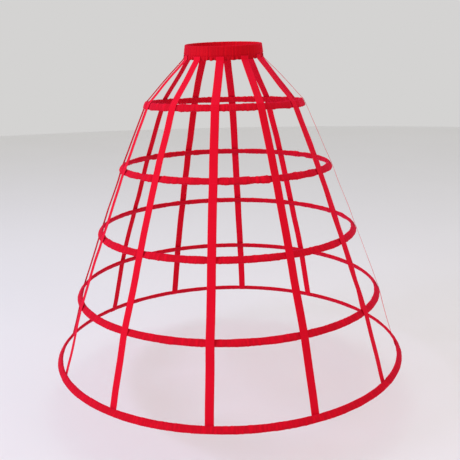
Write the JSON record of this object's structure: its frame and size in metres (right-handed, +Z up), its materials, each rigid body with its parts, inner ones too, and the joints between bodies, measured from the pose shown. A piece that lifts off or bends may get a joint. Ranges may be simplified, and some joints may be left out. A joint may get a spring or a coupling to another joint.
{
  "type": "crinoline cage",
  "caption": "Bell-shaped hoop skirt frame: cloth-cased hoops of growing size hung on flat tapes from a gathered elastic waistband, worn under a full skirt.",
  "frame": {"origin": "middle of the waist opening, at half the height of the waistband", "axes": "+Z up along the wearer, front towards -Y, +X to the wearer's left"},
  "size_m": [1.0149, 1.015, 0.8888],
  "materials": {
    "waistband_cloth": "plain woven cotton, gathered",
    "elastic": "knitted elastic",
    "casing_cloth": "plain woven cotton, ruched",
    "hoop_steel": "tempered spring strip",
    "joiner_metal": "crimped sheet",
    "tape_ribbon": "ribbed woven ribbon"
  },
  "bodies": {
    "root": {"waistband": "waistband_cloth", "waist_elastic": "elastic", "hoop_1_casing": "casing_cloth", "hoop_2_casing": "casing_cloth", "hoop_3_casing": "casing_cloth", "hoop_4_casing": "casing_cloth", "hoop_5_casing": "casing_cloth", "hoop_1_steel": "hoop_steel", "hoop_2_steel": "hoop_steel", "hoop_3_steel": "hoop_steel", "hoop_4_steel": "hoop_steel", "hoop_5_steel": "hoop_steel", "hoop_1_joiner": "joiner_metal", "hoop_2_joiner": "joiner_metal", "hoop_3_joiner": "joiner_metal", "hoop_4_joiner": "joiner_metal", "hoop_5_joiner": "joiner_metal", "tape_01": "tape_ribbon", "tape_02": "tape_ribbon", "tape_03": "tape_ribbon", "tape_04": "tape_ribbon", "tape_05": "tape_ribbon", "tape_06": "tape_ribbon", "tape_07": "tape_ribbon", "tape_08": "tape_ribbon", "tape_09": "tape_ribbon", "tape_10": "tape_ribbon", "tape_11": "tape_ribbon", "tape_12": "tape_ribbon"}
  },
  "joints": []
}
